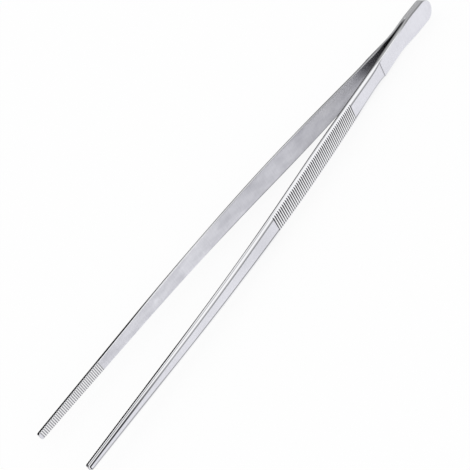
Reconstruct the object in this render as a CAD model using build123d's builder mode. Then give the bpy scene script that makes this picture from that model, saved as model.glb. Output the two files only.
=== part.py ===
from build123d import *

import math
import os

# Long kitchen tweezers: two mirrored spring-steel leaves, laid flat on each other at the
# spatula-shaped head, welded round the head's rim and ground flush. Each leaf springs
# outwards where the weld ends, runs past a grooved finger grip, and tapers to a
# serrated tip. They lie on their narrow edges, tips towards -X, the head towards +X,
# the left leaf on +Y and the right leaf on -Y, the lowest edge of the head on Z = 0.
# Stations along the leaf are measured from the tips. All lengths are in millimetres.

# Whole tweezers
overall_length = 300.0
leaf_thickness = 2.2
face_relief = 0.15            # the outer face is ground this much lower in front of the head

# Widths of a leaf, and where they lie. A setback is a distance from the head's end.
tip_width = 3.7
grip_width = 11.75
waist_width = 9.75
head_width = 12.4
grip_setback = 114.4          # the widest place of the grip
crest_blend = 30.0            # the straight taper rounds over into the crest in this length
waist_setback = 35.0          # the narrowest place of the spring
head_straight = 9.0           # full width from the flare to the head's round end
tip_corner_radius = 1.1

# Side view: head plate, root bend, straight flank, long shoulder bend, straight jaw
plate_length = 19.0           # the welded stretch, from the head's end
root_radius = 190.0
flank_length = 90.0
shoulder_radius = 1218.0
root_angle = 5.95
jaw_angle = 0.85

# Bevels ground along both outer edges of each leaf
bevel_width = 1.6
bevel_depth = 0.6
tip_bevel_width = 0.95
tip_bevel_depth = 0.4
bevel_growth = 110.0          # the bevel reaches its full size this far from the tip
step_setback = 51.7           # it runs out here, at the step up to the head's face
runout_length = 13.0
bevel_margin = 0.8            # how far the bevel's cutting wedge stands off the leaf

# Finger grip: grooves across the outer face
groove_count = 56
groove_pitch = 1.389
groove_setback = 160.6        # the first groove
groove_width = 0.86
groove_depth = 0.38
groove_floor = 0.3

# Jaws: fine serrations across the inner face
serration_count = 39
serration_pitch = 1.033
serration_start = 1.6
serration_width = 0.62
serration_depth = 0.24
serration_floor = 0.2

# Weld round the head's rim, and the place where the grip ends and the spring begins
weld_depth = 0.6
grip_land = 2.0
rim_round = 0.3               # the outer rim of each leaf is rounded this much
overrun = 4.0                 # how far a cut runs past what it cuts

# Places worked out from the sizes above
rest_height = head_width / 2
side_plane = Plane.XY.offset(rest_height)
face_plane = Plane(origin=(0, 0, rest_height), x_dir=(1, 0, 0), z_dir=(0, -1, 0))
head_end = overall_length / 2
tip_end = head_end - overall_length
weld_end = head_end - plate_length
grip_crest = overall_length - grip_setback
waist_station = overall_length - waist_setback
bevel_end = overall_length - step_setback
groove_start = overall_length - groove_setback
step_place = tip_end + bevel_end
spring_front = tip_end + groove_start + (groove_count - 0.5) * groove_pitch + grip_land
head_centre = overall_length - head_width / 2
flare_end = head_centre - head_straight
relieved_thickness = leaf_thickness - face_relief
taper_rate = (grip_width - tip_width) / 2 / (grip_crest - crest_blend / 2)
taper_end = grip_crest - crest_blend

# Shares of the bevel's growth and run-out at which its cutting wedge has a section
growth_shares = (0.35, 0.7, 1.0)
grip_shares = (0.25, 0.5, 0.75, 1.0)
runout_shares = (0.0, 0.45, 0.8, 1.0)
waist_shares = (0.14, 0.27, 0.4, 0.53, 0.66, 0.78, 0.9, 1.0)
flare_shares = (0.35, 0.7)


def eased(share):
    """A half wave that leads smoothly from 0 to 1."""
    return (1 - math.cos(math.pi * share)) / 2


def half_width(station):
    """Half the leaf's width at a station: straight taper, crest, waist, flare to the head."""
    if station < taper_end:
        return tip_width / 2 + taper_rate * station
    if station < grip_crest:
        return grip_width / 2 - taper_rate * (grip_crest - station) ** 2 / crest_blend / 2
    if station < waist_station:
        share = (station - grip_crest) / (waist_station - grip_crest)
        return (grip_width + (waist_width - grip_width) * eased(share)) / 2
    share = min((station - waist_station) / (flare_end - waist_station), 1)
    return (waist_width + (head_width - waist_width) * eased(share)) / 2


def bevel_size(station):
    """Width and depth of the bevel at a station, growing from the tip, ending in an arc."""
    growth = min(station / bevel_growth, 1)
    width = tip_bevel_width + (bevel_width - tip_bevel_width) * growth
    depth = tip_bevel_depth + (bevel_depth - tip_bevel_depth) * growth
    left = max(bevel_end - station, 0) / runout_length
    fade = math.sqrt(1 - (1 - min(left, 1)) ** 2)
    return width * fade, depth * fade


def leaf_line(depth):
    """The left leaf's side line, from the head's end to the tip, at a depth above its
    inner face: straight plate, root bend, straight flank, shoulder bend, straight jaw."""
    with BuildLine() as line:
        plate = Line((head_end, depth), (weld_end, depth))
        root = JernArc(plate @ 1, plate % 1, root_radius - depth, -root_angle)
        flank = PolarLine(root @ 1, flank_length, direction=root % 1)
        shoulder = JernArc(flank @ 1, flank % 1, shoulder_radius + depth, root_angle - jaw_angle)
        rest = ((shoulder @ 1).X - tip_end) / math.cos(math.radians(jaw_angle))
        PolarLine(shoulder @ 1, rest, direction=shoulder % 1)
    return line.wires()[0]


inner_line = leaf_line(0)
face_line = leaf_line(relieved_thickness)


def place_on(line, station):
    """Point and direction, towards the tip, of a side line at a station from the tip.
    A station below zero lies straight on, past the tip."""
    share = 1 - max(station, 0) / line.length
    along = line.tangent_at(share)
    return line.position_at(share) + along * max(-station, 0), along


def wedge_plane(station):
    """Plane across the leaf at a station, X across the width and Y out of the face."""
    point, along = place_on(face_line, station)
    return Plane(origin=point + Vector(0, 0, rest_height), x_dir=(0, 0, 1), z_dir=along)


def bevel_section(station):
    """Section of the wedge that cuts the bevel on the upper edge."""
    width, depth = bevel_size(station)
    side = half_width(station)
    reach = bevel_margin * bevel_depth / bevel_width
    with BuildSketch(wedge_plane(station)) as section:
        with BuildLine():
            Polyline(
                (side - width - bevel_margin, reach),
                (side + bevel_margin, -depth - reach),
                (side + bevel_margin, reach),
                close=True,
            )
        make_face()
    return section.sketch


def notch_row(line, start, count, pitch, width, floor, depth, side):
    """Flat-floored notches with slanting walls across a face, evenly spaced along its
    side line. They cut in from above the line where side is 1, and from below where -1."""
    mouth = width - floor / 2
    with BuildSketch(side_plane) as row:
        for index in range(count):
            point, along = place_on(line, start + index * pitch)
            turn = math.degrees(math.atan2(along.Y, along.X))
            with Locations(point):
                Polygon(
                    (-floor / 2, side * depth),
                    (floor / 2, side * depth),
                    (mouth, -side * depth),
                    (-mouth, -side * depth),
                    rotation=turn,
                    align=None,
                )
    return row.sketch


# Outline of a leaf seen square on: straight taper, grip, waist and round spatula head
to_waist = waist_station - taper_end
to_head = flare_end - waist_station
curve_stations = [taper_end + to_waist * share for share in waist_shares]
curve_stations += [waist_station + to_head * share for share in flare_shares]
with BuildSketch(face_plane) as outline:
    with BuildLine():
        tip_edge = Line((tip_end, 0), (tip_end, half_width(0)))
        taper = Line(tip_edge @ 1, (tip_end + taper_end, half_width(taper_end)))
        body_curve = Spline(
            taper @ 1,
            *[(tip_end + station, half_width(station)) for station in curve_stations],
            (tip_end + flare_end, head_width / 2),
            tangents=[taper % 1, (1, 0)],
        )
        head_side = Line(body_curve @ 1, (tip_end + head_centre, head_width / 2))
        RadiusArc(head_side @ 1, (head_end, 0), head_width / 2)
        mirror(about=Plane.XZ)
    make_face()
    fillet(outline.vertices().group_by(Axis.X)[0], tip_corner_radius)

# Side view of the left leaf, at its full thickness
back_line = leaf_line(leaf_thickness)
with BuildSketch(side_plane) as side_view:
    with BuildLine():
        add(inner_line)
        add(back_line)
        Line(inner_line @ 0, back_line @ 0)
        Line(inner_line @ 1, back_line @ 1)
    make_face()

# What is ground off the outer face, from the tip to the step below the head's face
clear_line = leaf_line(leaf_thickness + overrun)
with BuildSketch(side_plane) as ground_off:
    with BuildLine():
        add(face_line)
        add(clear_line)
        Line(face_line @ 0, clear_line @ 0)
        Line(face_line @ 1, clear_line @ 1)
    make_face()
    split(bisect_by=Plane.YZ.offset(step_place), keep=Keep.BOTTOM)

# Notches: grooves for the fingers on the outer face, serrations on the inner face
grooves = notch_row(
    face_line, groove_start, groove_count, groove_pitch, groove_width, groove_floor,
    groove_depth, 1,
)
serrations = notch_row(
    inner_line, serration_start, serration_count, serration_pitch, serration_width,
    serration_floor, serration_depth, -1,
)

# The wedge that grinds the bevel on the upper edge, its sections square to the leaf
growth_stations = [bevel_growth * share for share in growth_shares]
runout_start = bevel_end - runout_length
grip_stations = [bevel_growth + (runout_start - bevel_growth) * share for share in grip_shares]
runout_stations = [runout_start + runout_length * share for share in runout_shares]
with BuildPart() as bevel_wedge:
    for station in [-overrun] + growth_stations + grip_stations:
        add(bevel_section(station))
    loft()
with BuildPart() as runout_wedge:
    for station in runout_stations:
        add(bevel_section(station))
    loft()

# Whole left leaf, from which its three stretches are parted
with BuildPart() as left_leaf:
    extrude(side_view.sketch, amount=head_width, both=True)
    extrude(outline.sketch, amount=overall_length, both=True, mode=Mode.INTERSECT)
    outer_faces = left_leaf.faces().filter_by(lambda face: face.normal_at().Y > 0.9)
    outer_rim = outer_faces.edges().filter_by(Axis.Z, reverse=True)
    fillet(outer_rim, rim_round)
    extrude(ground_off.sketch, amount=head_width, both=True, mode=Mode.SUBTRACT)
    for wedge in (bevel_wedge.part, runout_wedge.part):
        add(wedge, mode=Mode.SUBTRACT)
        add(wedge.mirror(side_plane), mode=Mode.SUBTRACT)
    extrude(grooves, amount=head_width, both=True, mode=Mode.SUBTRACT)
    extrude(serrations, amount=head_width, both=True, mode=Mode.SUBTRACT)

# Head plate: flat, its outer rim rounded, its inner rim bevelled to take the weld
with BuildPart() as left_head_plate:
    add(left_leaf.part)
    split(bisect_by=Plane.YZ.offset(weld_end), keep=Keep.TOP)
    inner_rim = left_head_plate.edges().filter_by(Axis.Z, reverse=True).group_by(Axis.Y)[0]
    chamfer(inner_rim, weld_depth)

# Spring: the stretch that bends when the tweezers are squeezed
with BuildPart() as left_spring:
    add(left_leaf.part)
    split(bisect_by=Plane.YZ.offset(weld_end), keep=Keep.BOTTOM)
    split(bisect_by=Plane.YZ.offset(spring_front), keep=Keep.TOP)

# Blade: the stiff stretch from the finger grip to the tip
with BuildPart() as left_blade:
    add(left_leaf.part)
    split(bisect_by=Plane.YZ.offset(spring_front), keep=Keep.BOTTOM)

# The right leaf mirrors the left one about the plane where they lie on each other
with BuildPart() as right_head_plate:
    mirror(left_head_plate.part, about=Plane.XZ)
with BuildPart() as right_spring:
    mirror(left_spring.part, about=Plane.XZ)
with BuildPart() as right_blade:
    mirror(left_blade.part, about=Plane.XZ)

# Weld: fills the groove that both bevelled rims form, flush with the rim
with BuildPart() as head_weld:
    extrude(outline.sketch, amount=weld_depth, both=True)
    split(bisect_by=Plane.YZ.offset(weld_end), keep=Keep.TOP)
    add(left_head_plate.part, mode=Mode.SUBTRACT)
    add(right_head_plate.part, mode=Mode.SUBTRACT)

left_head_plate.part.label = "left_head_plate"
right_head_plate.part.label = "right_head_plate"
head_weld.part.label = "head_weld"
left_spring.part.label = "left_spring"
right_spring.part.label = "right_spring"
left_blade.part.label = "left_blade"
right_blade.part.label = "right_blade"

os.makedirs("parts", exist_ok=True)
export_step(left_head_plate.part, "parts/left_head_plate.step")
export_step(right_head_plate.part, "parts/right_head_plate.step")
export_step(head_weld.part, "parts/head_weld.step")
export_step(left_spring.part, "parts/left_spring.step")
export_step(right_spring.part, "parts/right_spring.step")
export_step(left_blade.part, "parts/left_blade.step")
export_step(right_blade.part, "parts/right_blade.step")

# Where the blade turns: a leaf that bends along its spring acts as if hinged a third of
# the way from the weld's end to the fingers, on the leaf's middle line
groove_middle = groove_start + (groove_count - 1) / 2 * groove_pitch
finger_place = tip_end + groove_middle
pivot_place = weld_end - (weld_end - finger_place) / 3
print("hinge at", pivot_place, "spring from", spring_front, "to", weld_end)
print("half gap between the tips", inner_line.position_at(1).Y)
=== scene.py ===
# %% [markdown]
# # Long kitchen tweezers
# The object is two mirrored leaves of spring steel, welded at a flat, round head. Each leaf is
# one strip: a head plate, a springy stretch, a grooved finger grip, and a long tapering jaw with
# fine serrations at its tip. The narrow edges and the bevels are polished, the outer faces are
# satin and the inner faces are ground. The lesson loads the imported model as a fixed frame,
# works out each leaf as one surface with numpy, gives it its steel, and sets up a small studio
# with the photograph's camera.

# %% Load the frame
import math

import bmesh
import bpy
import numpy as np
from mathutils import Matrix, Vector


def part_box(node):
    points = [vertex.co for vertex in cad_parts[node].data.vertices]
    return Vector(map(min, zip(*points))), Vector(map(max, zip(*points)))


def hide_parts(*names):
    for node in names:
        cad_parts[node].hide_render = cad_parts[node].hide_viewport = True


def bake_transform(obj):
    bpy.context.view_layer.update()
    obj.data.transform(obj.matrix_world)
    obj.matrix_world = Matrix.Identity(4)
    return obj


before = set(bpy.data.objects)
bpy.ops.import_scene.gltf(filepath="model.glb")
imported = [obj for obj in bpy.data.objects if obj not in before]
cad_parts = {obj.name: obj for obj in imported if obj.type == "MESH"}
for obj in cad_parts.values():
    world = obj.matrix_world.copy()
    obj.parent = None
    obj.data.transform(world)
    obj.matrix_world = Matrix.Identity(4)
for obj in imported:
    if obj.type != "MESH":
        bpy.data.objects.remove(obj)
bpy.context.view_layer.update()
print("CAD nodes:", sorted(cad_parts))

# %% [markdown]
# ## Sizes
# A leaf is drawn again here as a surface, so it needs the sizes that shape it. What the frame
# holds is read from the boxes of its nodes: the ends, the width of the head and of the grip, the
# thickness. The rest are real sizes of the tweezers. Lengths are metres, written as millimetres
# times one unit. A "station" is a distance from the tips, towards the head.

# %% Read the main sizes from the frame and name the others
mm = 0.001
plate_low, plate_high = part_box("left_head_plate")
blade_low, blade_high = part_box("left_blade")
tip_end, spring_front = blade_low.x, blade_high.x
weld_end, head_end = plate_low.x, plate_high.x
leaf_thickness = plate_high.y
head_width = plate_high.z - plate_low.z
grip_width = blade_high.z - blade_low.z
middle_height = (plate_high.z + plate_low.z) / 2

face_relief = 0.15 * mm
tip_width, waist_width = 3.7 * mm, 9.75 * mm
tip_corner_radius = 1.1 * mm
grip_crest, crest_blend, waist_station = 185.6 * mm, 30 * mm, 265 * mm
head_straight = 9 * mm
root_radius, shoulder_radius = 190 * mm, 1218 * mm
flank_length, bevel_end = 90 * mm, 248.3 * mm
root_angle, jaw_angle = math.radians(5.95), math.radians(0.85)
print("length", round((head_end - tip_end) / mm, 1), "mm, head", round(head_width / mm, 2), "mm wide")

# %% [markdown]
# ## The side line
# Seen from the side, a leaf is straight at the head, bends outwards on a short radius where the
# weld ends, runs straight along the flank, and bends back on a very long radius to the jaw.
# Each stretch is a straight line or an arc, so the height of the inner face over the middle
# plane is one formula per stretch. `np.select` picks the right one for every point at once.

# %% Work out the inner face's side line
root_front = weld_end - root_radius * math.sin(root_angle)
root_rise = root_radius * (1 - math.cos(root_angle))
flank_front = root_front - flank_length * math.cos(root_angle)
flank_rise = root_rise + flank_length * math.sin(root_angle)
shoulder_x = flank_front - shoulder_radius * math.sin(root_angle)
shoulder_y = flank_rise - shoulder_radius * math.cos(root_angle)
jaw_start = shoulder_x + shoulder_radius * math.sin(jaw_angle)
jaw_rise = shoulder_y + shoulder_radius * math.cos(jaw_angle)


def side_line(x):
    """Height of the left leaf's inner face and its slope at x, arrays in and out. Plate: zero.
    Root: radius less the root of radius squared minus run squared. Flank: a straight line.
    Shoulder: centre height plus the root of radius squared minus run squared. Jaw: a line."""
    run = np.clip(weld_end - x, 0, root_radius * math.sin(root_angle))
    root = root_radius - np.sqrt(root_radius**2 - run**2)
    over = np.clip(x - shoulder_x, 0, shoulder_radius * math.sin(root_angle))
    across = np.sqrt(shoulder_radius**2 - over**2)
    where = [x >= weld_end, x >= root_front, x >= flank_front, x >= jaw_start]
    flank = root_rise + (root_front - x) * math.tan(root_angle)
    jaw = jaw_rise + (jaw_start - x) * math.tan(jaw_angle)
    height = np.select(where, [0 * x, root, flank, shoulder_y + across], jaw)
    slopes = [0 * x, run / (root_radius - root), 0 * x + math.tan(root_angle), over / across]
    return height, np.select(where, slopes, math.tan(jaw_angle))


ruler_marks = 6001
ruler = np.linspace(tip_end, head_end, ruler_marks)
stretch = np.sqrt(1 + side_line(ruler)[1] ** 2)
ruler_station = np.concatenate([[0], np.cumsum(np.diff(ruler) * (stretch[1:] + stretch[:-1]) / 2)])


def station_of(x):
    """Distance from the tip along the leaf: the running sum of each short run's length."""
    return np.interp(x, ruler, ruler_station)


tip_gap = 2 * side_line(ruler[:1])[0][0]
print("the inner faces stand", round(tip_gap / mm, 1), "mm apart at the tips")

# %% [markdown]
# ## Grooves and serrations
# The grip's grooves and the jaw's serrations are cut straight across the leaf, evenly spaced.
# Real cuts have slanting walls, a flat floor and slightly broken edges. One function gives the
# depth of such a row of notches at every station. The mesh needs lines exactly where a notch
# turns, so the row also names those stations: an even grid would blur the notches.

# %% Name the rows of notches and work out their depth
groove_row = {"start": 139.4 * mm, "pitch": 1.389 * mm, "count": 56, "width": 0.86 * mm,
              "floor": 0.30 * mm, "depth": 0.38 * mm}
serration_row = {"start": 1.6 * mm, "pitch": 1.033 * mm, "count": 39, "width": 0.62 * mm,
                 "floor": 0.20 * mm, "depth": 0.24 * mm}
edge_break = 0.05 * mm


def notch_depth(station, row):
    """Depth of a row of notches. Each wall falls in a line from the mouth's edge to the floor:
    depth times (half width minus distance from the notch's middle) over the wall's width."""
    index = np.clip(np.round((station - row["start"]) / row["pitch"]), 0, row["count"] - 1)
    off = np.abs(station - row["start"] - index * row["pitch"])
    wall = (row["width"] - row["floor"]) / 2
    return row["depth"] * np.clip((row["width"] / 2 - off) / wall, 0, 1)


def notch_stations(row):
    """Stations where a row's notches need a line of vertices: beside each edge of each mouth
    and floor, and midway to the next notch, the same offsets repeated at every pitch."""
    half, floor = row["width"] / 2, row["floor"] / 2
    side = np.array([half + edge_break, half - edge_break, floor + edge_break, floor - edge_break])
    offsets = np.concatenate([-side, side[::-1], [row["pitch"] / 2]])
    middles = row["start"] + row["pitch"] * np.arange(row["count"])
    return (middles[:, None] + offsets[None, :]).ravel()


print("groove lines:", len(notch_stations(groove_row)))
print("serration lines:", len(notch_stations(serration_row)))

# %% [markdown]
# ## The outline
# Seen square on, a leaf is a straight taper that rounds over into the grip, narrows to a waist
# and flares to a round head. The outline is followed from the tip's corner to the head's end as
# one list of points with their outward directions. Offsetting those points inwards gives the
# lines of a bevel or of a rounded rim that stays equally wide round every corner.

# %% Follow the outline from the tip to the head's end
taper_end = grip_crest - crest_blend
taper_rate = (grip_width - tip_width) / 2 / (grip_crest - crest_blend / 2)
head_radius = head_width / 2
head_centre = head_end - head_radius
head_station = head_centre - tip_end
flare_end = head_station - head_straight
plain_stretches = (44, 138, 60), (218, 246, 24), (250.5, head_station / mm - 0.4, 36)
step_offsets = np.array([0.06, 0.12, 0.25, 0.5, 1.2]) * mm
corner_steps, head_steps, nudge = 9, 30, 0.01 * mm


def half_width(place):
    """Half the leaf's width at distances from the tips: a line, then a parabola over the
    crest, then two half waves of a cosine, down to the waist and up to the head."""
    taper = tip_width / 2 + taper_rate * place
    crest = grip_width / 2 - taper_rate * (grip_crest - place) ** 2 / crest_blend / 2
    to_waist = np.clip((place - grip_crest) / (waist_station - grip_crest), 0, 1)
    to_head = np.clip((place - waist_station) / (flare_end - waist_station), 0, 1)
    waist = grip_width + (waist_width - grip_width) * (1 - np.cos(np.pi * to_waist)) / 2
    flare = waist_width + (head_width - waist_width) * (1 - np.cos(np.pi * to_head)) / 2
    where = [place < taper_end, place < grip_crest, place < waist_station]
    return np.select(where, [taper, crest, waist / 2], flare / 2)


def main_places():
    """Distances from the tips at which the long sides have a line of vertices: close together
    at notches and at the step, further apart elsewhere. A plain stretch has its start and end
    in millimetres and its number of lines."""
    plain = [np.linspace(start, end, count) * mm for start, end, count in plain_stretches]
    at_step = bevel_end + np.concatenate([-step_offsets[::-1], [0], step_offsets])
    along = np.concatenate([notch_stations(serration_row), notch_stations(groove_row), at_step])
    placed = np.interp(along, ruler_station, ruler) - tip_end
    places = np.unique(np.concatenate([placed, *plain]))
    return places[(places > tip_corner_radius) & (places < head_station)]


def outline():
    """Points (x, z) of the outline's upper half and their outward unit normals: the tip's
    corner as an arc, the long side from half_width, the head as a quarter circle."""
    lean = math.atan(taper_rate)
    turn = np.linspace(0, math.pi / 2 - lean, corner_steps)
    corner_z = half_width(np.array([tip_corner_radius]))[0] - tip_corner_radius
    corner_normal = np.stack([-np.cos(turn), np.sin(turn)], 1)
    corner = np.array([tip_end + tip_corner_radius, corner_z]) + tip_corner_radius * corner_normal
    place = main_places()
    slope = (half_width(place + nudge) - half_width(place - nudge)) / (2 * nudge)
    side = np.stack([tip_end + place, half_width(place)], 1)
    side_normal = np.stack([-slope, 1 + 0 * slope], 1) / np.sqrt(1 + slope**2)[:, None]
    turn = np.linspace(math.pi / 2, 0, head_steps)
    head_normal = np.stack([np.cos(turn), np.sin(turn)], 1)
    head = np.array([head_centre, 0]) + head_radius * head_normal
    normals = np.concatenate([corner_normal, side_normal, head_normal])
    return np.concatenate([corner, side, head]), normals


print("outline points:", len(outline()[0]))

# %% [markdown]
# ## The cross-section
# Cut across, a leaf is a flat strip with two bevelled outer corners. Four things make it look
# like ground and polished steel and not like a paper model: every corner has a small radius, the
# narrow side is slightly crowned by the polishing wheel, the bevel grows from the tip and runs
# out in an arc below the head, and the notches bite through the bevel as a straight cut does.
# The section is a list of points, each with an inset from the outline and a depth above the
# inner face, worked out for all stations at once.

# %% Shape the section
bevel_width, bevel_depth = 1.6 * mm, 0.6 * mm
tip_bevel_width, tip_bevel_depth = 0.95 * mm, 0.4 * mm
bevel_growth, runout_length = 110 * mm, 13 * mm
rim_round, corner_round, side_crown = 0.3 * mm, 0.14 * mm, 0.08 * mm
crown_fade = 240 * mm, 275 * mm
step_length, weld_depth, weld_blend = 0.2 * mm, 0.6 * mm, 0.2 * mm
side_shares, bevel_shares = np.array([0.06, 0.35, 0.65, 0.94]), np.array([0.06, 0.35, 0.65, 0.92])
inner_steps, outer_steps = 5, 4


def bevel_size(station):
    """Width and depth of the bevel: both grow in a line from the tip, and fade in a quarter
    circle at the run-out. The rounded rim of the head is the least that they fall to."""
    growth = np.clip(station / bevel_growth, 0, 1)
    left = np.clip((bevel_end - station) / runout_length, 0, 1)
    fade = np.sqrt(1 - (1 - left) ** 2)
    width = (tip_bevel_width + (bevel_width - tip_bevel_width) * growth) * fade
    depth = (tip_bevel_depth + (bevel_depth - tip_bevel_depth) * growth) * fade
    return np.maximum(width, rim_round), np.maximum(depth, rim_round * (station > bevel_growth))


def smooth_rise(place, start, end):
    """Rises from 0 to 1 between two places: 3 t squared less 2 t cubed."""
    t = np.clip((place - start) / (end - start), 0, 1)
    return t * t * (3 - 2 * t)


def rounded(corner, before, after, radius, steps):
    """Points of a rounded corner: the curve that leaves the line towards `before` and joins the
    line towards `after`, weighting start, corner and end by (1-t)^2, 2t(1-t) and t^2."""
    t = np.linspace(0, 1, steps)[None, :, None]
    start = corner + radius * before
    end = corner + radius * after
    return (1 - t) ** 2 * start[:, None] + 2 * t * (1 - t) * corner[:, None] + t**2 * end[:, None]


def section(station, welded):
    """Profile of the upper edge at every station, from the inner face to the outer face: an
    array of (inset, depth) pairs. The side bulges as a parabola: crown times the square of the
    distance from the side's middle over half the side. welded is 1 where the weld is."""
    height = leaf_thickness - face_relief * np.clip((bevel_end - station) / step_length + 0.5, 0, 1)
    width, depth = bevel_size(station)
    half = (height - depth) / 2
    crown = side_crown * (1 - smooth_rise(station, *crown_fade))
    zero = 0 * station
    lean = 2 * crown / half
    lean_length = np.sqrt(1 + lean**2)
    along_face = np.stack([zero + 1, zero], 1)
    leave_low = np.stack([-lean, zero + 1], 1) / lean_length[:, None]
    leave_high = np.stack([-lean, zero - 1], 1) / lean_length[:, None]
    inner = np.stack([crown, zero], 1)
    side_top = np.stack([crown, 2 * half], 1)
    face_rim = np.stack([width, height], 1)
    along_bevel = (face_rim - side_top) / np.linalg.norm(face_rim - side_top, axis=1)[:, None]
    low = rounded(inner, along_face, leave_low, corner_round, inner_steps)
    share = np.linspace(0, 1, inner_steps)
    low += (weld_depth * np.stack([1 - share, share], 1) - low) * welded[:, None, None]
    mid = rounded(side_top, leave_high, along_bevel, corner_round, outer_steps)
    top = rounded(face_rim, -along_bevel, along_face, corner_round, outer_steps)
    side_depth = low[:, -1:, 1] * (1 - side_shares) + mid[:, :1, 1] * side_shares
    side_inset = crown[:, None] * (side_depth / half[:, None] - 1) ** 2
    side = np.stack([side_inset, side_depth], 2)
    share = bevel_shares[None, :, None]
    bevel = mid[:, -1:] * (1 - share) + top[:, :1] * share
    return np.concatenate([low, side, mid, bevel, top], 1)


profile_points = section(np.array([bevel_end / 2]), np.array([0.0])).shape[1]
print("points in a profile:", profile_points)

# %% [markdown]
# ## Painted shade, painted dark lines and bright lands
# Steel here gets a thin painted dark line along each corner, which stands for dark reflections and
# shade. It gets painted shade in the notches, in the narrow fork where light hardly gets in, and at the
# step's crease. Its lands are painted bright, partly for rubbing by fingers and food and partly as
# painted highlights. These places follow the shape, so they are worked out with it and stored on the
# mesh, as three marks that run from 0 to 1 at every vertex: the dark lines, the shade and the lands.
# The photograph shows the lines of the near and the far leaf differently, so each leaf has its own
# weights.

# %% Say where the marks begin and end, and how strong they are
# A zone is a start and an end in millimetres: in zones from the tips along the leaf, in
# fork_zones along X.
zones = {"tip_end": (0.5, 1.5), "tips": (20, 60), "behind_jaw": (110, 140), "grip": (125, 155),
         "past_grip": (215, 225), "step": (246, 252), "head": (264, 280)}
# The fork's zones place painted shade on the inner face towards the root, and a painted highlight on a
# lit patch past the grip.
fork_zones = {"shade": (0, 70), "lit": (40, 65), "lit_end": (84, 94), "wedge": (87, 97),
              "side": (92, 104), "root": (106, 118), "root_end": (126, 131)}
soft_length, root_length = 8 * mm, 10 * mm

# One leaf's own painted dark lines, which stand for dark reflections and shade: on the side's inner end
# and next to it, on the rounding of the inner corner along the jaw and behind it, on the bevel's corner
# along the grip, on the side's outer end, and at the weld. Then the station where lines turn soft and
# the X where the root starts.
leaf_painted_lines = {
    "left": {"inner": 0.35, "side": 0.25, "jaw_corner": 0.0, "corner": 0.35, "grip": 1.0,
             "outer": 0.9, "weld": 0.5, "soft_from": 254 * mm, "root_from": 102 * mm},
    "right": {"inner": 1.0, "side": 0.9, "jaw_corner": 0.91, "corner": 0.9, "grip": 0.0,
              "outer": 0.0, "weld": 0.72, "soft_from": 246 * mm, "root_from": 117 * mm}}

# Painted dark lines that both leaves share, and what is kept of a line in some places.
rim_line, rim_line_tips = 0.65, 1.0
bevel_line, bevel_line_tips, bevel_foot_tips = 0.5, 0.9, 0.6
tip_corner_line, tip_side_line, root_side_line, outer_spread = 0.5, 0.7, 0.5, 0.6
weld_bevel_line, weld_rim_line = 0.75, 0.5
inner_face_line = np.array([0.9, 0.3, 0.25])
kept_in_fork, kept_below_tips, kept_past_grip = 0.4, 0.55, 0.5
kept_at_grooves, kept_at_head = 0.3, 0.35

# Depths of shade in the serrations, on the inner face and at the step, and the lit patch.
serration_dark, shade_dark, wedge_dark, root_dark, crease_dark = 0.6, 0.16, 0.42, 0.5, 0.75
shade_slant, lit_patch, wall_gain, crease_reach = 1.1, 0.7, 3.0, 0.25 * mm
print("zones:", len(zones) + len(fork_zones), "weights of each leaf:", len(leaf_painted_lines["left"]))

# %% [markdown]
# ## Fades along the leaf
# Each line begins and ends somewhere, and grows or pales over a short stretch. A fade is a
# column with one number from 0 to 1 for each station: 1 at the place that it is named for, and
# past it where nothing ends it. All fades are worked out together, so that the lines can be
# told in plain words later.

# %% Work out the fades

def row_span(station, row):
    """1 inside a row of notches and 0 outside it, as a column."""
    last = row["start"] + row["pitch"] * (row["count"] - 1)
    inside = (station > row["start"] - row["width"] / 2) & (station < last + row["width"] / 2)
    return inside[:, None] * 1.0


def rise(place, zone):
    """0 in front of a zone and 1 behind it, as a column."""
    return smooth_rise(place, zone[0] * mm, zone[1] * mm)[:, None]


def kept(share, weight):
    """1 where share is 0 and weight where share is 1, in a line between them."""
    return 1 - (1 - weight) * share


def line_fades(station, x, painted_lines):
    """Every fade of one leaf by its place. The weld's fade ends again at the head's round end,
    and the root's fade where the leaves meet."""
    soft_end = painted_lines["soft_from"] + soft_length
    root_rises = smooth_rise(x, painted_lines["root_from"], painted_lines["root_from"] + root_length)[:, None]
    head_ends = smooth_rise(x, head_centre, head_end)[:, None]
    return {"tip_end": 1 - rise(station, zones["tip_end"]), "tips": 1 - rise(station, zones["tips"]),
            "behind_jaw": rise(station, zones["behind_jaw"]), "grip": rise(station, zones["grip"]),
            "grooves": row_span(station, groove_row),
            "past_grip": rise(station, zones["past_grip"]), "past_step": rise(station, zones["step"]),
            "soft": smooth_rise(station, painted_lines["soft_from"], soft_end)[:, None],
            "fork": rise(x, fork_zones["side"]),
            "root": root_rises * (1 - rise(x, fork_zones["root_end"])),
            "plate": np.clip((x - weld_end) / weld_blend, 0, 1)[:, None],
            "weld": rise(station, zones["head"]) * (1 - head_ends)}


crest = np.array([grip_crest])
crest_fades = line_fades(crest, tip_end + crest, leaf_painted_lines["right"])
print("fades that are 1 at the crest:", [name for name, fade in crest_fades.items() if fade[0, 0] == 1])

# %% [markdown]
# ## The painted dark lines
# A line is a dark reflection and shade painted along a corner: a weight on some points of the section,
# faded in and out along the leaf. The points are counted round the ring: the inner face, the upper
# profile, the outer face and the lower profile, which is the upper one mirrored. Broadcasting a column
# of fades over a row of weights fills the whole table at once.

# %% Work out the lines
chord_shares = np.array([-0.985, -0.93, -0.87, -0.6, -0.3, 0.0, 0.3, 0.6, 0.87, 0.93, 0.985])


def rim_weight(at):
    """Weight of the line on the outer face's rim, stronger at the tips."""
    return rim_line + (rim_line_tips - rim_line) * at["tips"]


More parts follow.
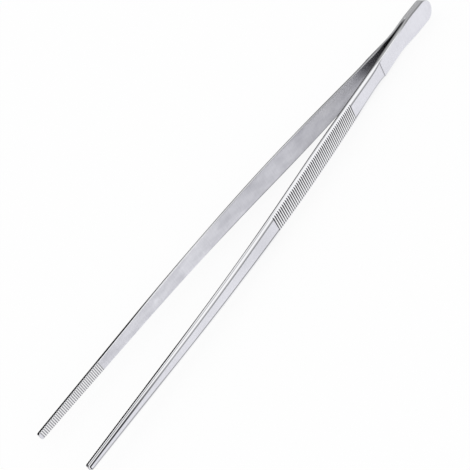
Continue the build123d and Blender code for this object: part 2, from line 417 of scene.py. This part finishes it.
def profile_lines(at, painted_lines):
    """Weights of the painted dark lines, which stand for dark reflections and shade, on one profile,
    before the grooves and the head change them. Points 0 to 4 are the inner corner, 5 to 8 the side, 9
    to 12 the bevel's corner, 13 to 16 the bevel and 17 to 20 the face's corner."""
    line = rim_weight(at) * np.ones((1, profile_points))
    line[:, 5:9] = np.array([1.0, 0, 0, 0]) + at["behind_jaw"] * np.array([0, painted_lines["side"], 0, 0])
    line[:, 5:9] *= painted_lines["inner"] * kept(at["fork"], kept_in_fork)
    line[:, :5] = np.maximum(tip_corner_line * at["tip_end"], painted_lines["corner"] * at["behind_jaw"])
    line[:, :5] += painted_lines["jaw_corner"] * (1 - np.maximum(at["behind_jaw"], at["tip_end"]))
    # Near the root the inner corner and the side get painted shade, which widens the dark gap between
    # the leaves.
    line[:, :6] += (1 - line[:, :6]) * at["root"]
    line[:, 6:7] += root_side_line * at["root"]
    line[:, 7:8] += outer_spread * painted_lines["outer"] * at["behind_jaw"]
    line[:, 8:9] += np.maximum(tip_side_line * at["tip_end"], painted_lines["outer"] * at["behind_jaw"])
    line[:, 7:9] *= 1 - at["soft"]
    line[:, :9] *= 1 - at["plate"]
    line[:, 9:13] = bevel_line + (bevel_line_tips - bevel_line) * at["tips"]
    line[:, 9:13] += (painted_lines["grip"] - bevel_line) * at["grip"]
    line[:, 13:16] = at["tips"] * np.array([0, 0, bevel_foot_tips])
    return line


def painted_edge_lines(station, x, painted_lines):
    """The painted dark lines round each ring, which stand for dark reflections and shade: the profile's
    lines above and, weaker, below, and the lines at both ends of the inner face and of the outer one."""
    at = line_fades(station, x, painted_lines)
    upper = profile_lines(at, painted_lines)
    lower = upper[:, ::-1] * kept(at["tips"], kept_below_tips)
    upper[:, 9:] *= kept(at["soft"], kept_at_head)
    upper[:, 14:] *= 1 - at["grooves"]
    upper[:, 9:14] = np.maximum(upper[:, 9:14], painted_lines["weld"] * at["weld"])
    upper[:, 14:] = np.maximum(upper[:, 14:], weld_bevel_line * at["weld"])
    below_grip = kept(at["past_grip"], kept_past_grip) * kept(at["grooves"], kept_at_grooves)
    lower[:, :-9] *= kept(at["soft"], kept_at_head)
    lower *= below_grip

    chords, half = len(chord_shares), len(chord_shares) // 2
    outer = np.zeros((len(station), chords))
    outer[:, [0, 1, -2, -1]] = rim_weight(at)
    outer[:, [2, -3]] = at["tips"]
    outer *= 1 - at["past_step"]
    outer[:, :half] *= 1 - at["grooves"]
    outer[:, half:] *= kept(at["tips"], kept_below_tips) * below_grip
    outer[:, :1] = np.maximum(outer[:, :1], weld_rim_line * at["weld"])
    inner = np.zeros((len(station), chords))
    inner[:, [0, 1, -1]] = at["behind_jaw"] * inner_face_line
    inner[:, [0, -1]] += (1 - inner[:, [0, -1]]) * at["root"]
    return np.concatenate([inner, upper, outer, lower], 1)


on_grip = painted_edge_lines(crest, tip_end + crest, leaf_painted_lines["right"])[0, len(chord_shares) :]
print("the near leaf's lines at the grip:", on_grip[:profile_points].round(1))

# %% [markdown]
# ## Painted shade in the notches and the fork, and the lands
# A groove gets painted shade, darkest at the upper edge, where its wall is seen, fading downwards. The
# inner face gets painted shade towards the root, because light hardly gets out of that wedge, and a
# painted highlight on a patch past the grip, along its upper edge. A thin line of painted shade marks
# the crease at the step at the bevel's end.

# %% Work out the dark and the rubbed places
groove_power, groove_power_slant = 1.5, 0.5
groove_weight, groove_weight_slant = 2.4, 1.8


def groove_shade(share, chord):
    """How much painted shade a groove gets: its depth's share to a power that grows with the chord,
    times a weight that falls with it. The chord is -1 at the outer face's upper edge, 1 at its lower."""
    power = groove_power + groove_power_slant * chord
    return np.clip(share**power * (groove_weight - groove_weight_slant * chord), 0, 1)


def face_marks(station, x, groove, serration):
    """Painted shade and lands on the inner and on the outer face. Notches take painted shade by their
    depth's share, and the lands between them take the rest of it, as rubbing and painted highlight.
    Shade: painted shade, a rise times 1 less the slanted chord, which is -1 at the inner face's lower
    edge. The lit patch is a painted highlight on the inner face's lands. Crease: painted shade, e to
    the minus square of the distance over reach."""
    chord = chord_shares[None, :]
    in_serration = serration / serration_row["depth"]
    in_groove = groove_shade(groove / groove_row["depth"], chord)
    shade = shade_dark * rise(x, fork_zones["shade"]) * (1 - shade_slant * chord)
    shade = shade + wedge_dark * rise(x, fork_zones["wedge"]) + root_dark * rise(x, fork_zones["root"])
    off_step = (station - bevel_end + step_length)[:, None]
    crease = crease_dark * np.exp(-((off_step / crease_reach) ** 2))
    lit = lit_patch * rise(x, fork_zones["lit"]) * (1 - rise(x, fork_zones["lit_end"]))
    inner_land = row_span(station, serration_row) * (1 - in_serration)
    outer_land = row_span(station, groove_row) * (1 - in_groove)
    inner_painted_shade = np.maximum(serration_dark * in_serration, np.maximum(shade, 0))
    outer_painted_shade = np.maximum(in_groove, crease)
    # A painted highlight: a lit patch along the inner face's upper edge past the grip, added to the
    # lands.
    inner_land = np.maximum(inner_land, lit * np.clip(chord, 0, 1))
    return (inner_painted_shade, outer_painted_shade), (inner_land, outer_land)


print("a groove's floor, upper to lower edge:", groove_shade(1.0, chord_shares[::5]).round(2))

# %% [markdown]
# ## The leaf as one surface
# Every outline point gets a ring: the inner face, the profile of the upper edge, the outer face
# and the same profile upside down. Neighbouring rings are joined with four-sided faces, which is
# quick with numpy: one table of indices and two rolled copies of it. The tip's blunt end is a
# small grid, and the head's round end closes by itself, because its last ring has no width.

# %% Work out the rings of a leaf


def leaf_points(painted_lines):
    """Rings of (x, height, z) and their marks. x and z are the outline point less the inset
    along its normal. Height is the depth over the inner face, cut down by the notches."""
    point, normal = outline()
    station = station_of(point[:, 0])
    profile = section(station, np.clip((point[:, 0] - weld_end) / weld_blend, 0, 1))
    groove = notch_depth(station, groove_row)[:, None]
    serration = notch_depth(station, serration_row)[:, None]
    face = profile[:, -1:, 1] - groove
    depth = np.clip(profile[..., 1], serration, face)
    x = point[:, :1] - profile[..., 0] * normal[:, :1]
    z = point[:, 1:] - profile[..., 0] * normal[:, 1:]
    chord = chord_shares[None, :]
    ones = np.ones_like(chord)
    ring_x = np.concatenate([x[:, :1] * ones, x, x[:, -1:] * ones, x[:, ::-1]], 1)
    ring_z = np.concatenate([z[:, :1] * chord, z, z[:, -1:] * -chord, -z[:, ::-1]], 1)
    ring_depth = np.concatenate([serration * ones, depth, face * ones, depth[:, ::-1]], 1)
    painted_shade, land_and_highlight = face_marks(station, point[:, 0], groove, serration)
    # Painted shade on the profile where a notch cuts down through it, darker the deeper the cut.
    sunk = np.clip(np.abs(profile[..., 1] - depth) / groove_row["depth"] * wall_gain, 0, 1)
    plain = 0 * sunk
    marks = {"painted_dark_edges": painted_edge_lines(station, point[:, 0], painted_lines),
             "painted_shade": np.concatenate([painted_shade[0], sunk, painted_shade[1], sunk[:, ::-1]], 1),
             "land_and_highlight": np.concatenate([land_and_highlight[0], plain, land_and_highlight[1], plain], 1)}
    return np.stack([ring_x, ring_depth, ring_z], -1), marks


def tip_cap(rings):
    """Fills the blunt end inside the first ring with a grid. Its points are the upper profile's,
    with z times each share of the chord. Returns them, the grid's faces and the upper profile."""
    count, around = rings.shape[:2]
    chords, rim = len(chord_shares), profile_points
    upper = np.arange(chords, chords + rim)
    lower = np.arange(2 * chords + 2 * rim - 1, 2 * chords + rim - 1, -1)
    filling = rings[0, upper][1:-1, None] * np.ones((1, chords, 1))
    filling[..., 2] = filling[..., 2] * chord_shares[None, :]
    added = count * around + np.arange(filling[..., 0].size).reshape(filling.shape[:2])
    grid = np.zeros((rim, chords + 2), int)
    grid[:, 0], grid[:, -1] = lower, upper
    grid[0, 1:-1] = np.arange(chords)
    grid[-1, 1:-1] = np.arange(2 * chords + rim - 1, chords + rim - 1, -1)
    grid[1:-1, 1:-1] = added
    faces = np.stack([grid[:-1, :-1], grid[:-1, 1:], grid[1:, 1:], grid[1:, :-1]], -1)
    return filling.reshape(-1, 3), faces.reshape(-1, 4), upper


print("vertices in a ring:", leaf_points(leaf_painted_lines["left"])[0].shape[1])

# %% [markdown]
# ## From rings to a mesh
# A mesh is a list of points and a list of faces that name them. Here the points are set out at
# their real places, so the object stays at the origin. Points that fall together, as at the
# round end, are merged, and the normals are worked out again so that all faces point outwards.

# %% Build both leaves
ground_slot, polished_slot, satin_slot = 0, 1, 2
merge_distance = 0.0005 * mm


def ring_finish(around):
    """The material slot of each face round a ring: ground inside, satin outside, edges polished."""
    chords = len(chord_shares)
    finish = np.full(around, polished_slot)
    finish[:chords] = ground_slot
    finish[-1] = ground_slot
    finish[chords + profile_points - 1 : 2 * chords + profile_points] = satin_slot
    return finish


def leaf_mesh(name, side, painted_lines):
    """A closed mesh from the rings: faces (ring, i), (ring, i+1), (ring+1, i+1), (ring+1, i),
    and the tip's cap. A point's height is the side line plus its depth over the cosine of the
    slope, times side, which is 1 for the left leaf and -1 for the right one."""
    rings, marks = leaf_points(painted_lines)
    count, around = rings.shape[:2]
    index = np.arange(count * around).reshape(count, around)
    ahead = np.roll(index, -1, axis=1)
    quads = np.stack([index[:-1], ahead[:-1], ahead[1:], index[1:]], -1).reshape(-1, 4)
    filling, cap, upper = tip_cap(rings)
    points = np.concatenate([rings.reshape(-1, 3), filling])
    height, slope = side_line(points[:, 0])
    lift = height + points[:, 1] * np.sqrt(1 + slope**2)
    placed = np.stack([points[:, 0], side * lift, points[:, 2] + middle_height], 1)
    mesh = bpy.data.meshes.new(name)
    mesh.from_pydata(placed.tolist(), [], np.concatenate([quads, cap]).tolist())
    slots = np.tile(ring_finish(around), count - 1)
    slots = np.concatenate([slots, np.full(len(cap), polished_slot)])
    mesh.polygons.foreach_set("material_index", slots.astype(np.int32))
    mesh.polygons.foreach_set("use_smooth", np.ones(len(slots), bool))
    for label, values in marks.items():
        mark = mesh.attributes.new(label, "FLOAT", "POINT")
        on_cap = np.repeat(values[0, upper][1:-1], len(chord_shares))
        mark.data.foreach_set("value", np.concatenate([values.ravel(), on_cap]).astype(np.float32))
    work = bmesh.new()
    work.from_mesh(mesh)
    bmesh.ops.remove_doubles(work, verts=work.verts, dist=merge_distance)
    bmesh.ops.recalc_face_normals(work, faces=work.faces)
    open_edges = sum(not edge.is_manifold for edge in work.edges)
    work.to_mesh(mesh)
    work.free()
    print(name, "vertices", len(mesh.vertices), "faces", len(mesh.polygons), "open edges", open_edges)
    return mesh


leaves = {}
for name, side in (("left", 1), ("right", -1)):
    leaf = bpy.data.objects.new(name + "_leaf", leaf_mesh(name + "_leaf", side, leaf_painted_lines[name]))
    bpy.context.scene.collection.objects.link(leaf)
    leaves[name] = leaf

# %% [markdown]
# ## Steel and its grain
# Stainless steel is a metal with almost no colour of its own: what it shows is the room. What
# tells a satin face from a polished edge is the size and direction of its fine scratches. Each
# effect that the steels share is a node group that gives numbers over the surface, and each
# material places the groups with its own values and keeps its own metal shader. The first group
# is the brushed grain: noise on Object coordinates, stretched along the scratches.

# %% Make the brushed grain


def new_group(name, inputs, outputs):
    """An empty shader node group with named float sockets."""
    group = bpy.data.node_groups.new(name, "ShaderNodeTree")
    for label, value in inputs.items():
        socket = group.interface.new_socket(label, in_out="INPUT", socket_type="NodeSocketFloat")
        socket.default_value = value
    for label in outputs:
        group.interface.new_socket(label, in_out="OUTPUT", socket_type="NodeSocketFloat")
    ends = group.nodes.new("NodeGroupInput"), group.nodes.new("NodeGroupOutput")
    return group, *ends


def math_node(tree, operation, first, second=0.0, third=None):
    """One Math node. Each operand is a number or another node's socket."""
    node = tree.nodes.new("ShaderNodeMath")
    node.operation = operation
    for slot, value in zip(node.inputs, (first, second, third)):
        if isinstance(value, bpy.types.NodeSocket):
            tree.links.new(value, slot)
        elif value is not None:
            slot.default_value = value
    return node.outputs[0]


def object_noise(tree, scale_sockets, detail, roughness):
    """Noise on Object coordinates, stretched by one scale per axis."""
    place = tree.nodes.new("ShaderNodeTexCoord").outputs["Object"]
    scale = tree.nodes.new("ShaderNodeCombineXYZ")
    for slot, value in zip(scale.inputs, scale_sockets):
        tree.links.new(value, slot)
    stretched = tree.nodes.new("ShaderNodeVectorMath")
    stretched.operation = "MULTIPLY"
    tree.links.new(place, stretched.inputs[0])
    tree.links.new(scale.outputs[0], stretched.inputs[1])
    noise = tree.nodes.new("ShaderNodeTexNoise")
    noise.inputs["Scale"].default_value = 1.0
    noise.inputs["Detail"].default_value = detail
    noise.inputs["Roughness"].default_value = roughness
    tree.links.new(stretched.outputs[0], noise.inputs["Vector"])
    return noise.outputs["Fac"]


def grain_group():
    """Fine scratches: noise squeezed across them and stretched along them."""
    group, start, end = new_group(
        "brushed_grain", {"Across leaf": 500.0, "Along leaf": 3000.0, "Through": 500.0}, ["Grain"])
    scales = [start.outputs["Along leaf"], start.outputs["Through"], start.outputs["Across leaf"]]
    noise = object_noise(group, scales, detail=3.0, roughness=0.6)
    group.links.new(noise, end.inputs["Grain"])
    return group


effects = {"grain": grain_group()}
print("node group:", effects["grain"].name)

# %% [markdown]
# ## Clouds and marks
# Grinding and handling leave soft patches. They are a second, coarser noise about a middle value, so
# that each steel can set its own contrast. The third group reads the marks that were stored on the
# mesh, the painted shade, the painted dark lines and the lands, and weights them.

# %% Make the clouds and read the marks
middle_tone = 0.5


def cloud_group():
    """Soft patches some millimetres wide, left by grinding and handling."""
    group, start, end = new_group(
        "ground_clouds", {"Along leaf": 90.0, "Across leaf": 260.0, "Contrast": 1.0}, ["Cloud"])
    scales = [start.outputs["Along leaf"], start.outputs["Across leaf"], start.outputs["Across leaf"]]
    noise = object_noise(group, scales, detail=2.0, roughness=0.5)
    centred = math_node(group, "SUBTRACT", noise, middle_tone)
    spread = math_node(group, "MULTIPLY", centred, start.outputs["Contrast"])
    group.links.new(math_node(group, "ADD", spread, middle_tone), end.inputs["Cloud"])
    return group


def mark_group():
    """Marks of the mesh, weighted. Mask holds the painted dark places: the thin lines of painted dark
    reflection and shade, and the painted shade in the notches, the fork and the crease, which lightens
    a little towards the lower edge. Land holds the lands, bright from rubbing and from a painted
    highlight."""
    group, start, end = new_group(
        "painted_light_marks", {"Line": 1.0, "Cavity": 0.5, "Fade down": 0.3}, ["Mask", "Land"])
    split = group.nodes.new("ShaderNodeSeparateXYZ")
    group.links.new(group.nodes.new("ShaderNodeTexCoord").outputs["Object"], split.inputs[0])
    drop = math_node(group, "DIVIDE", math_node(group, "SUBTRACT", grip_width, split.outputs["Z"]),
                     grip_width)
    lighter = math_node(group, "MULTIPLY", drop, start.outputs["Fade down"])
    sunk = math_node(group, "MULTIPLY", start.outputs["Cavity"],
                     math_node(group, "SUBTRACT", 1.0, lighter))
    values = {}
    for label in ("painted_dark_edges", "painted_shade", "land_and_highlight"):
        node = group.nodes.new("ShaderNodeAttribute")
        node.attribute_name = label
        values[label] = node.outputs["Fac"]
    line = math_node(group, "MULTIPLY", values["painted_dark_edges"], start.outputs["Line"])
    painted_shade = math_node(group, "MULTIPLY", values["painted_shade"], sunk)
    both = math_node(group, "MAXIMUM", line, painted_shade)
    group.links.new(math_node(group, "MINIMUM", both, 1.0), end.inputs["Mask"])
    group.links.new(values["land_and_highlight"], end.inputs["Land"])
    return group


effects["clouds"] = cloud_group()
effects["marks"] = mark_group()
print("node groups:", [group.name for group in effects.values()])

# %% [markdown]
# ## One recipe for steel
# Every finish of a leaf is the same metal, so one function makes them all. Grain and clouds run the
# colour from dark to light. It turns to a bright colour on the mesh's lands, for rubbing and as a
# painted highlight, and to a nearly black one in its lines and cavities, which is painted shade and
# painted dark reflection. The grain also varies the roughness and gives a fine bump.

# %% Write the recipe


def place_group(tree, group, **values):
    """A group in a material, with its input values."""
    node = tree.nodes.new("ShaderNodeGroup")
    node.node_tree = group
    for label, value in values.items():
        node.inputs[label.replace("_", " ")].default_value = value
    return node


def blend_colour(tree, factor, first, second):
    """Mixes two colours by a factor. Each colour is a value or a socket."""
    mix = tree.nodes.new("ShaderNodeMix")
    mix.data_type = "RGBA"
    tree.links.new(factor, mix.inputs["Factor"])
    for slot, colour in ((mix.inputs[6], first), (mix.inputs[7], second)):
        if isinstance(colour, bpy.types.NodeSocket):
            tree.links.new(colour, slot)
        else:
            slot.default_value = (*colour, 1.0)
    return mix.outputs[2]


grain_height, grain_share = 0.02 * mm, 0.5


def steel(name, light, dark, painted_dark, rubbed_and_lit, roughness, spread, bump, grain, clouds, marks):
    """Metal whose colour runs from dark to light with grain and clouds. It turns bright on the lands,
    for rubbing and as a painted highlight, and nearly black in the marks, as painted shade and painted
    dark reflections. Its roughness varies by spread, with the grain as a fine bump."""
    material = bpy.data.materials.new(name)
    material.use_nodes = True
    tree = material.node_tree
    shader = tree.nodes["Principled BSDF"]
    shader.inputs["Metallic"].default_value = 1.0
    fine = place_group(tree, effects["grain"], **grain).outputs["Grain"]
    patch = place_group(tree, effects["clouds"], **clouds).outputs["Cloud"]
    placed = place_group(tree, effects["marks"], **marks)
    cloudy = math_node(tree, "MULTIPLY", patch, 1 - grain_share)
    tone = math_node(tree, "MULTIPLY_ADD", fine, grain_share, cloudy)
    clean = blend_colour(tree, tone, dark, light)
    lands = blend_colour(tree, placed.outputs["Land"], clean, rubbed_and_lit)
    # The mask paints shade and dark reflections in a nearly black colour over the lands and the clean
    # steel.
    tree.links.new(blend_colour(tree, placed.outputs["Mask"], lands, painted_dark), shader.inputs["Base Color"])
    rough = math_node(tree, "MULTIPLY_ADD", fine, spread, roughness - spread / 2)
    tree.links.new(rough, shader.inputs["Roughness"])
    relief = tree.nodes.new("ShaderNodeBump")
    relief.inputs["Strength"].default_value = bump
    relief.inputs["Distance"].default_value = grain_height
    tree.links.new(fine, relief.inputs["Height"])
    tree.links.new(relief.outputs["Normal"], shader.inputs["Normal"])
    return material


print("scratches are up to", round(grain_height / mm, 3), "mm deep")

# %% [markdown]
# ## Three finishes
# The outer face is satin: fine scratches across the leaf. The inner face is coarser ground and
# cloudier. Side edges and bevels are polished, so they mirror the studio's bright and dark
# places as crisp bands. The weld is polished flush, so it takes the edges' finish.

# %% Finish the leaves and the weld
# Each finish's nearly black colour paints shade and dark reflections into the marks. Its brightest
# colour paints the lands bright, for rubbing and as a painted highlight.
satin = steel(
    "satin_steel", light=(0.92, 0.92, 0.975), dark=(0.67, 0.67, 0.73), painted_dark=(0.02, 0.02, 0.024),
    rubbed_and_lit=(0.98, 0.985, 1.0), roughness=0.34, spread=0.10, bump=0.25,
    grain={"Along_leaf": 1500.0, "Across_leaf": 170.0, "Through": 170.0},
    clouds={"Along_leaf": 60.0, "Across_leaf": 200.0, "Contrast": 0.8},
    marks={"Line": 1.0, "Cavity": 1.0, "Fade_down": 0.05})
ground = steel(
    "ground_steel", light=(0.86, 0.86, 0.91), dark=(0.54, 0.54, 0.59), painted_dark=(0.02, 0.02, 0.022),
    rubbed_and_lit=(0.95, 0.95, 0.96), roughness=0.42, spread=0.12, bump=0.30,
    grain={"Along_leaf": 1300.0, "Across_leaf": 150.0, "Through": 150.0},
    clouds={"Along_leaf": 110.0, "Across_leaf": 230.0, "Contrast": 2.2},
    marks={"Line": 1.0, "Cavity": 1.0, "Fade_down": 0.0})
polished = steel(
    "polished_steel", light=(0.965, 0.968, 0.99), dark=(0.915, 0.918, 0.945), painted_dark=(0.02, 0.02, 0.024),
    rubbed_and_lit=(0.965, 0.968, 0.99), roughness=0.06, spread=0.02, bump=0.04,
    grain={"Along_leaf": 160.0, "Across_leaf": 5200.0, "Through": 5200.0},
    clouds={"Along_leaf": 40.0, "Across_leaf": 300.0, "Contrast": 0.5},
    marks={"Line": 1.0, "Cavity": 1.0, "Fade_down": 0.05})
for leaf in leaves.values():
    for material in (ground, polished, satin):
        leaf.data.materials.append(material)
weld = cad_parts["head_weld"]
weld.data.materials.clear()
weld.data.materials.append(polished)
print("materials:", [material.name for material in leaves["left"].data.materials])

# %% [markdown]
# ## Joining the leaves to the frame
# On the real tweezers a leaf bends along its whole spring when it is squeezed. Each leaf here is one
# mesh in its rest shape, which runs with the head up to the end of the weld and with its arm from the
# grip onwards, and turns smoothly in between. It stands for the three CAD nodes of that leaf, which are
# hidden.

# %% Bake each leaf in place and hide the CAD nodes that it stands for
for name, leaf in leaves.items():
    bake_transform(leaf)
    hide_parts(name + "_head_plate", name + "_spring", name + "_blade")
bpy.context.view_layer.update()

# %% [markdown]
# ## The floor
# The floor is plain, nearly white paper. What the camera and the reflections see of it is mostly
# even white, mixed with a share of the lit paper, which keeps the tweezers' shadow. All other
# light meets the paper alone.

# %% Lay the floor


def flat_panel(name, corners):
    """One flat face through its corners, which belongs to the stage."""
    mesh = bpy.data.meshes.new(name)
    mesh.from_pydata(corners, [], [tuple(range(len(corners)))])
    panel = bpy.data.objects.new(name, mesh)
    bpy.context.scene.collection.objects.link(panel)
    return panel


def empty_material(name):
    """A material with only its output node."""
    material = bpy.data.materials.new(name)
    material.use_nodes = True
    material.node_tree.nodes.clear()
    return material, material.node_tree, material.node_tree.nodes.new("ShaderNodeOutputMaterial")


floor_reach, floor_level, floor_white = 3.0, -0.02 * mm, 0.85
white, paper_colour = (1.0, 1.0, 1.0, 1.0), (0.95, 0.95, 0.955, 1.0)
floor = flat_panel("floor", [(x * floor_reach, y * floor_reach, floor_level)
                             for x, y in ((-1, -1), (1, -1), (1, 1), (-1, 1))])
paper, tree, out = empty_material("floor_paper")
sheet = tree.nodes.new("ShaderNodeBsdfDiffuse")
sheet.inputs["Color"].default_value = paper_colour
bright = tree.nodes.new("ShaderNodeEmission")
bright.inputs["Color"].default_value = white
seen = tree.nodes.new("ShaderNodeLightPath")
plainly_seen = math_node(tree, "MAXIMUM", seen.outputs["Is Camera Ray"], seen.outputs["Is Glossy Ray"])
share = math_node(tree, "MULTIPLY", plainly_seen, floor_white)
mix = tree.nodes.new("ShaderNodeMixShader")
tree.links.new(share, mix.inputs["Fac"])
tree.links.new(sheet.outputs[0], mix.inputs[1])
tree.links.new(bright.outputs[0], mix.inputs[2])
tree.links.new(mix.outputs[0], out.inputs["Surface"])
floor.data.materials.append(paper)
print("floor:", 2 * floor_reach, "m wide, even white by", floor_white)

# %% [markdown]
# ## The grey panel
# Polished steel in an all-white room would look like paper, so a photographer sets up dark
# panels out of view. The one here stands behind the tweezers, and their upper edges mirror it.
# The far edge mirrors the panel's lower half and the near edge its upper half, so each half has
# its own row of greys. Both are dark for the tips. The lower one is grey for the rest, the upper
# one light for the jaw and the grip and grey again for the head. Only reflections see the panel.

# %% Set up the panel
panel_y, panel_left, panel_right = 0.50, -0.8, 1.3
panel_outline = ((panel_left, 0.0), (panel_right, 0.0), (panel_right, 0.95), (0.17, 0.95),
                 (0.11, 0.61), (panel_left, 0.60))
rows_meet = 0.425, 0.445
panel = flat_panel("grey_panel", [(x, panel_y, z) for x, z in panel_outline])
cloth, tree, out = empty_material("panel_cloth")
split = tree.nodes.new("ShaderNodeSeparateXYZ")
tree.links.new(tree.nodes.new("ShaderNodeTexCoord").outputs["Object"], split.inputs[0])
run = math_node(tree, "DIVIDE", math_node(tree, "SUBTRACT", split.outputs["X"], panel_left),
                panel_right - panel_left)


def grey_row(stops):
    """A row of greys along the panel, each stop a place in metres and a grey."""
    ramp = tree.nodes.new("ShaderNodeValToRGB")
    while len(ramp.color_ramp.elements) < len(stops):
        ramp.color_ramp.elements.new(1.0)
    for element, (place, shade) in zip(ramp.color_ramp.elements, stops):
        element.position = (place - panel_left) / (panel_right - panel_left)
        element.color = (shade, shade, shade, 1.0)
    tree.links.new(run, ramp.inputs["Fac"])
    return ramp.outputs["Color"]


lower = grey_row(((-0.8, 0.01), (0.05, 0.01), (0.10, 0.10), (0.19, 0.38), (0.28, 0.60),
                  (0.35, 0.60), (0.42, 0.42), (0.52, 0.40), (0.66, 0.42)))
upper = grey_row(((-0.8, 0.01), (0.06, 0.02), (0.085, 0.35), (0.11, 0.85), (0.41, 0.85),
                  (0.44, 0.92), (0.475, 0.50), (0.60, 0.42)))
height = tree.nodes.new("ShaderNodeMapRange")
height.inputs["From Min"].default_value, height.inputs["From Max"].default_value = rows_meet
tree.links.new(split.outputs["Z"], height.inputs["Value"])
glow = tree.nodes.new("ShaderNodeEmission")
tree.links.new(blend_colour(tree, height.outputs["Result"], lower, upper), glow.inputs["Color"])
tree.links.new(glow.outputs[0], out.inputs["Surface"])
panel.data.materials.append(cloth)
panel.visible_camera = panel.visible_diffuse = panel.visible_shadow = False
print("panel:", round(panel_right - panel_left, 2), "m wide,", panel_y, "m behind the tweezers")

# %% [markdown]
# ## The sky
# An even white sky gives soft light from all sides, at a strength of 1, so that colours render
# about as they are written.

# %% Light the studio
world = bpy.data.worlds.new("sky")
bpy.context.scene.world = world
world.use_nodes = True
world.node_tree.nodes["Background"].inputs["Color"].default_value = white
world.node_tree.nodes["Background"].inputs["Strength"].default_value = 1.0
print("sky:", world.name, "stage:", floor.name, panel.name)

# %% [markdown]
# ## Camera
# The place, the angles and the lens come from fitting a perspective camera to the edges, groove
# rows and serrations of the tweezers: a lens of about 75 mm, half a metre away, looking steeply
# down along the leaves from in front of the right one.

# %% Place the camera
camera_x, camera_y, camera_rise = -191.22 * mm, -319.864 * mm, 281.715 * mm
camera_angles = 47.2691, 25.5772, -49.3107
sensor_width, lens_length = 36.0, 74.336
camera = bpy.data.objects.new("camera", bpy.data.cameras.new("camera"))
bpy.context.scene.collection.objects.link(camera)
camera.location = (camera_x, camera_y, middle_height + camera_rise)
camera.rotation_euler = [math.radians(angle) for angle in camera_angles]
camera.data.sensor_width, camera.data.lens = sensor_width, lens_length
camera.data.clip_start, camera.data.clip_end = 0.01, 20.0
bpy.context.scene.camera = camera
bpy.context.scene.view_settings.view_transform = "Standard"
print("camera at", [round(v, 3) for v in camera.location], "m, lens", round(camera.data.lens, 1), "mm")
